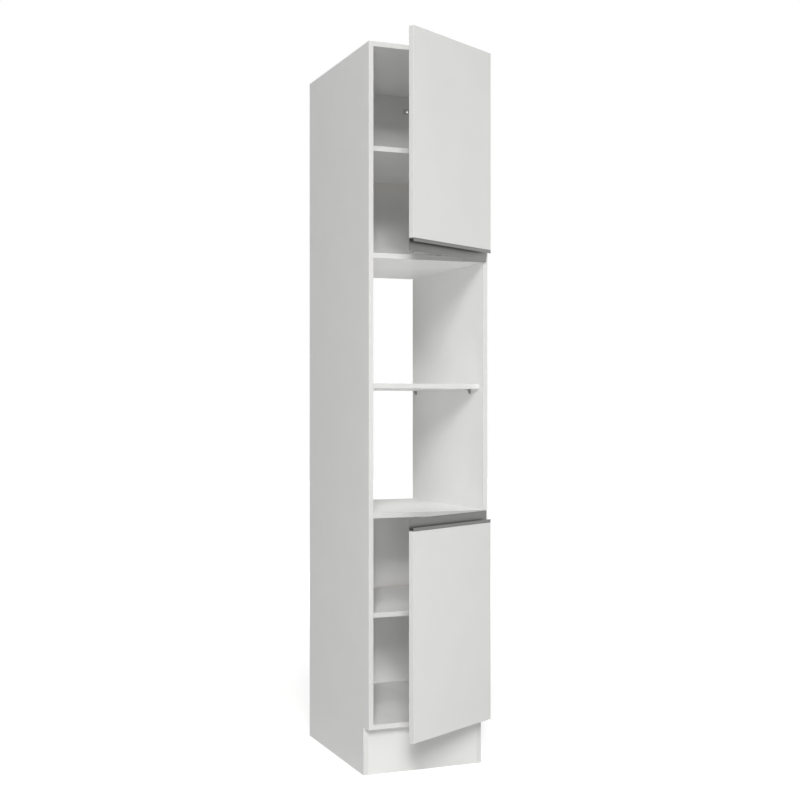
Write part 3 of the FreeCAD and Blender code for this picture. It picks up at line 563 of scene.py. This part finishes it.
@dataclass
class Carcass:
    """The side panels, the fixed panels between them, the backs, and the shelves on their supports."""

    arris: float = 0.4
    banding: Banding = field(default_factory=Banding)
    side_panels: tuple[str, ...] = ("side_panel_left", "side_panel_right")
    fixed_panels: tuple[str, ...] = ("bottom_panel", "niche_floor_panel", "upper_base_panel", "top_panel")
    shelves: tuple[str, ...] = ("lower_shelf", "niche_shelf", "upper_shelf")
    backs: tuple[str, ...] = ("lower_back_panel", "upper_back_panel")

    def bands(self, name: str, boards: tuple[str, ...], finish: Finish) -> bpy.types.Object:
        """The bands on the front edges of boards of one kind."""
        strips = [self.banding.on_front_edge(board, self.arris) for board in boards]
        return add_closed_piece(name, strips, finish, Body.CABINET)

    def dress(self) -> None:
        """Gives the boards, the backs and what holds them their finishes."""
        CARCASS_FACING.dress(*self.side_panels, *self.fixed_panels)
        SHELF_FACING.dress(*self.shelves)
        BACK_FACING.dress(*self.backs)
        GREY_PLASTIC.dress("upper_shelf_supports", "niche_shelf_supports", "lower_shelf_supports")
        CASTING.dress("cam_locks")
        ZINC.dress("cam_bolts", "back_panel_nails")
        DULL_ZINC.dress("wall_brackets", "wall_bracket_screws")
        WHITE_PLASTIC.dress("cam_cover_caps")
        BEECH.dress("dowels")

    def build(self) -> None:
        """Glues the bands on and dresses the nodes."""
        self.bands("side_panel_bands", self.side_panels, UPRIGHT_BAND)
        self.bands("fixed_panel_bands", self.fixed_panels, LEVEL_BAND)
        self.bands("shelf_bands", self.shelves, LEVEL_BAND)
        self.dress()


@dataclass
class Plinth:
    """The frame under the carcass: two sides with banded fronts, two cross boards and corner blocks."""

    arris: float = 0.4
    banding: Banding = field(default_factory=Banding)
    sides: tuple[str, ...] = ("plinth_side_left", "plinth_side_right")
    cross_boards: tuple[str, ...] = ("plinth_front_board", "plinth_back_board")

    def build(self) -> None:
        """Glues the bands on and dresses the nodes."""
        strips = [self.banding.on_front_edge(side, self.arris) for side in self.sides]
        add_closed_piece("plinth_bands", strips, UPRIGHT_BAND, Body.CABINET)
        PLINTH_SIDE_FACING.dress(*self.sides)
        PLINTH_FACING_PAINTED_SHADE.dress(*self.cross_boards)
        WHITE_PLASTIC.dress("plinth_corner_blocks")
        ZINC.dress("plinth_block_screws")


# --------------------------------------------------------------------------- doors


@dataclass(frozen=True)
class OpenDoor:
    """How the hinges carry a closed door to where it stands in the photo. Lengths are millimetres."""

    opening_deg: float = 29.8
    link_share: float = 0.291
    door_pivot: tuple[float, float] = (188.5, -583.4)
    link_pivot: tuple[float, float] = (163.3, -573.6)

    def turned(self, points: np.ndarray, pivot: tuple[float, float], angle_deg: float) -> np.ndarray:
        """Points turned about an upright axis: x and y, mixed by the angle's cosine and sine."""
        angle = math.radians(angle_deg)
        matrix = np.array([[math.cos(angle), math.sin(angle), 0.0],
                           [-math.sin(angle), math.cos(angle), 0.0],
                           [0.0, 0.0, 1.0]])
        axis = np.array([*pivot, 0.0])
        return (points - axis) @ matrix + axis

    def __call__(self, points: np.ndarray) -> np.ndarray:
        """Points of the closed door, in millimetres, moved to the open door, in metres."""
        about_door = self.turned(points, self.door_pivot, (1.0 + self.link_share) * self.opening_deg)
        return self.turned(about_door, self.link_pivot, -self.link_share * self.opening_deg) * MM


@dataclass
class Door:
    """A door board banded on three edges, with its grip, its hinges and its two soft domes.

    far_end is +1 where the end away from the grip is the upper one, and -1 where it is the lower one.
    Lengths are millimetres, in the closed door.
    """

    name: str
    body: Body
    far_end: int
    left: float = -198.0
    right: float = 198.0
    back: float = -582.0
    board: float = 18.0
    arris: float = 0.8
    banding: Banding = field(default_factory=Banding)
    opened: OpenDoor = field(default_factory=OpenDoor)
    dome_place: float = -192.5
    dome_end_inset: float = 12.0
    dome_radius: float = 4.0
    dome_height: float = 1.7
    dome_foot: float = 0.25
    dome_points: int = 32
    dome_rings: int = 10
    dome_top_angle: float = 0.02

    def node(self, piece: str) -> str:
        """The name of one of this door's CAD nodes."""
        return f"{self.name}_{piece}"

    def ends(self) -> tuple[float, float]:
        """The heights of the board's end away from the grip and of its end at the grip."""
        low, high = (corner.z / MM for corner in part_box(self.node("door_panel")))
        return (high, low) if self.far_end > 0 else (low, high)

    def bands(self) -> bpy.types.Object:
        """The band round three edges of the board.

        The path goes up one side, across the far end and down the other side, an arris inside the board's
        rim. Outward is the cosine of an angle across and its sine towards the far end. The angle stays at a
        half turn along the first side, falls to a quarter turn at the first corner, and to zero at the second.
        """
        far, near = self.ends()
        quarter = np.linspace(0.0, math.pi / 2, self.banding.arc_steps + 1)
        corner_angles = (math.pi - quarter, math.pi / 2 - quarter)
        angle = np.concatenate([[math.pi], *corner_angles, [0.0]])
        x_left, x_right = self.left + self.arris, self.right - self.arris
        x = np.where(angle > math.pi / 2, x_left, x_right)
        x[len(quarter)] = x_left
        z = np.full_like(x, far - self.far_end * self.arris)
        z[[0, -1]] = near + self.far_end * self.banding.proud
        middles = np.stack([x, np.full_like(x, self.back - self.board / 2), z], -1)
        outward = np.stack([np.cos(angle), np.zeros_like(angle), self.far_end * np.sin(angle)], -1)
        section = self.banding.section(self.board, self.arris, self.arris)
        rings = carried(section, middles, np.array([0.0, 1.0, 0.0]), outward)
        return add_closed_piece(self.node("door_bands"), [self.opened(rings)], DOOR_BAND, self.body)

    def dome(self, height: float) -> np.ndarray:
        """One dome on the door's back.

        It is a low foot with a cap of a sphere on it. The sphere's radius is the sum of the squares of the
        foot's radius and the cap's rise, over twice the rise. A ring of the cap has the radius times the sine
        of its angle from the top, and lies lower than the top by the radius times one less the cosine.

        Args:
            height: The height of its middle on the door.

        Returns:
            Its rings of points, in metres.
        """
        rise = self.dome_height - self.dome_foot
        sphere = (self.dome_radius**2 + rise**2) / (2 * rise)
        fall = np.linspace(math.asin(self.dome_radius / sphere), self.dome_top_angle, self.dome_rings)
        radius = np.concatenate([[self.dome_radius], sphere * np.sin(fall)])
        lift = np.concatenate([[0.0], self.dome_height - sphere * (1 - np.cos(fall))])
        round_angle = np.linspace(0.0, math.tau, self.dome_points, endpoint=False)
        x = self.dome_place + radius[:, None] * np.cos(round_angle)
        z = height + radius[:, None] * np.sin(round_angle)
        y = np.broadcast_to(self.back + lift[:, None], x.shape)
        return self.opened(np.stack([x, y, z], -1))

    def domes(self) -> bpy.types.Object:
        """The two soft domes that the door closes on. They stand for the CAD's flat discs."""
        far, near = self.ends()
        inset = self.far_end * self.dome_end_inset
        piece = add_closed_piece(self.node("door_domes"), [self.dome(far - inset), self.dome(near + inset)],
                                 CLEAR_RUBBER, self.body)
        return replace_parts(piece, self.node("door_bumpers"))

    def dress(self) -> None:
        """Gives the board, the grip and the hinges their finishes."""
        DOOR_FACING_PAINTED_SHADE.dress(self.node("door_panel"))
        GRIP_METAL.dress(self.node("door_handle"))
        CLEAR_RUBBER.dress(self.node("door_bumpers"))
        NICKEL.dress(*map(self.node, ("hinge_mounting_plates", "hinge_arms", "outer_links", "inner_links",
                                      "hinge_cups")))
        ZINC.dress(*map(self.node, ("hinge_plate_screws", "hinge_arm_screws", "hinge_arm_pins",
                                    "hinge_cup_pins", "hinge_cup_screws")))

    def build(self) -> None:
        """Makes the bands and the domes and dresses the nodes."""
        self.bands()
        self.domes()
        self.dress()


# --------------------------------------------------------------------------- studio


@dataclass(frozen=True)
class Lamp:
    """A square soft lamp."""

    name: str
    place: tuple[float, float, float]
    size: float
    power: float
    target: tuple[float, float, float] = (0.0, -0.3, 1.1)

    def build(self) -> None:
        """Hangs the lamp up and points it at its target."""
        data = bpy.data.lights.new(self.name, "AREA")
        data.shape = "SQUARE"
        data.size = self.size
        data.energy = self.power
        lamp = bpy.data.objects.new(self.name, data)
        lamp.location = self.place
        aim = Vector(self.target) - Vector(self.place)
        lamp.rotation_euler = aim.to_track_quat("-Z", "Y").to_euler()
        lamp.visible_camera = False
        bpy.context.collection.objects.link(lamp)


@dataclass
class Studio:
    """A pale floor in an even white surround, soft lamps, and the photo's camera.

    The key lamp is a far one, like a low sun, nearly above the camera, with a second one higher up. The top
    lamp softens their shadows. The low and foot lamps reach into the cupboards and onto the plinth. The right
    and rear lamps light the sides that the photo doesn't show.
    """

    camera_place: tuple[float, float, float] = (-1.60894, -4.32878, 1.13101)
    camera_yaw: float = 0.383222
    focal_pixels: float = 1315.08
    picture_pixels: float = 800.0
    horizon_drop_pixels: float = 8.195
    sensor_mm: float = 36.0
    surround: float = 0.08
    lamps: tuple[Lamp, ...] = (
        Lamp("key_lamp", (-3.86, -11.18, 5.3), 2.0, 620.0),
        Lamp("high_lamp", (-4.52, -10.27, 6.65), 1.5, 430.0),
        Lamp("top_lamp", (-1.45, -4.57, 5.44), 2.0, 70.0),
        Lamp("low_lamp", (-1.0, -3.0, 0.3), 0.5, 12.5, (0.0, -0.3, 0.6)),
        Lamp("foot_lamp", (0.5, -3.4, 0.25), 0.5, 2.5, (0.0, -0.3, 0.6)),
        Lamp("right_lamp", (4.0, 1.0, 2.0), 1.6, 40.0),
        Lamp("rear_lamp", (0.3, 4.5, 1.3), 1.2, 30.0),
    )
    floor_size: float = 30.0
    floor_colour: str = "#DADADA"
    near_glow: float = 0.62
    near_and_far: tuple[float, float] = (0.8, 4.0)
    bounces: int = 12

    def camera(self) -> None:
        """The camera, level, at the place that a fit to the photo's edges gave."""
        data = bpy.data.cameras.new("photo_camera")
        data.sensor_width = self.sensor_mm
        data.lens = self.sensor_mm * self.focal_pixels / self.picture_pixels
        data.shift_y = self.horizon_drop_pixels / self.picture_pixels
        camera = bpy.data.objects.new("photo_camera", data)
        camera.location = self.camera_place
        camera.rotation_euler = (math.pi / 2, 0.0, -self.camera_yaw)
        bpy.context.collection.objects.link(camera)
        bpy.context.scene.camera = camera

    def seen_directly(self, tree: bpy.types.NodeTree) -> Any:
        """1 for rays from the camera, off gloss or through clear stuff, and 0 for the light's own."""
        path = add_node(tree, "ShaderNodeLightPath")
        gloss = sums(tree, "MAXIMUM", path.outputs["Is Camera Ray"], path.outputs["Is Glossy Ray"])
        return sums(tree, "MAXIMUM", gloss, path.outputs["Is Transmission Ray"])

    def world(self) -> None:
        """An even surround that looks white but lights at its own level."""
        world = bpy.data.worlds.new("white_surround")
        world.use_nodes = True
        tree = world.node_tree
        background = tree.nodes["Background"]
        strength = add_node(tree, "ShaderNodeMapRange", Value=self.seen_directly(tree),
                            To_Min=self.surround, To_Max=1.0)
        tree.links.new(strength.outputs[0], background.inputs["Strength"])
        background.inputs["Color"].default_value = (1.0, 1.0, 1.0, 1.0)
        bpy.context.scene.world = world

    def floor(self) -> None:
        """A pale floor that keeps a faint shadow near the cabinet and runs into the surround."""
        half = self.floor_size / 2
        mesh = bpy.data.meshes.new("studio_floor")
        mesh.from_pydata([(-half, -half, 0), (half, -half, 0), (half, half, 0), (-half, half, 0)], [],
                         [(0, 1, 2, 3)])
        material = bpy.data.materials.new("pale_floor")
        material.use_nodes = True
        tree = material.node_tree
        tree.nodes.clear()
        matt = add_node(tree, "ShaderNodeBsdfDiffuse", Color=linear(self.floor_colour))
        place = add_node(tree, "ShaderNodeTexCoord").outputs["Object"]
        distance = add_node(tree, "ShaderNodeVectorMath", {"operation": "LENGTH"}, n0=place)
        near, far = self.near_and_far
        level = add_node(tree, "ShaderNodeMapRange", Value=distance.outputs["Value"], From_Min=near,
                         From_Max=far, To_Min=self.near_glow, To_Max=1.0)
        glow = add_node(tree, "ShaderNodeEmission", Color=(1.0, 1.0, 1.0, 1.0), Strength=level.outputs[0])
        both = add_node(tree, "ShaderNodeAddShader", n0=matt.outputs[0], n1=glow.outputs[0])
        mix = add_node(tree, "ShaderNodeMixShader", n0=self.seen_directly(tree), n1=matt.outputs[0],
                       n2=both.outputs[0])
        add_node(tree, "ShaderNodeOutputMaterial", Surface=mix.outputs[0])
        mesh.materials.append(material)
        floor = bpy.data.objects.new("studio_floor", mesh)
        bpy.context.collection.objects.link(floor)

    def build(self) -> None:
        """Sets up the whole studio. White cupboards pass light on many times, so it may bounce often."""
        self.camera()
        self.world()
        self.floor()
        for lamp in self.lamps:
            lamp.build()
        bpy.context.scene.cycles.diffuse_bounces = self.bounces
        bpy.context.scene.view_settings.view_transform = "Standard"


def main() -> None:
    """Builds the cabinet's sub-assemblies and the studio in order, and reports them."""
    Carcass().build()
    Plinth().build()
    Door("upper", Body.UPPER_DOOR, 1).build()
    Door("lower", Body.LOWER_DOOR, -1).build()
    Studio().build()
    bare = [name for name, node in frame["nodes"].items() if len(node.data.materials) == 0]
    log.info("%d CAD nodes, %d of them bare: %s", len(frame["nodes"]), len(bare), bare)


if __name__ == "__main__":
    logging.basicConfig(level=logging.INFO, format="%(name)s: %(message)s")
    main()
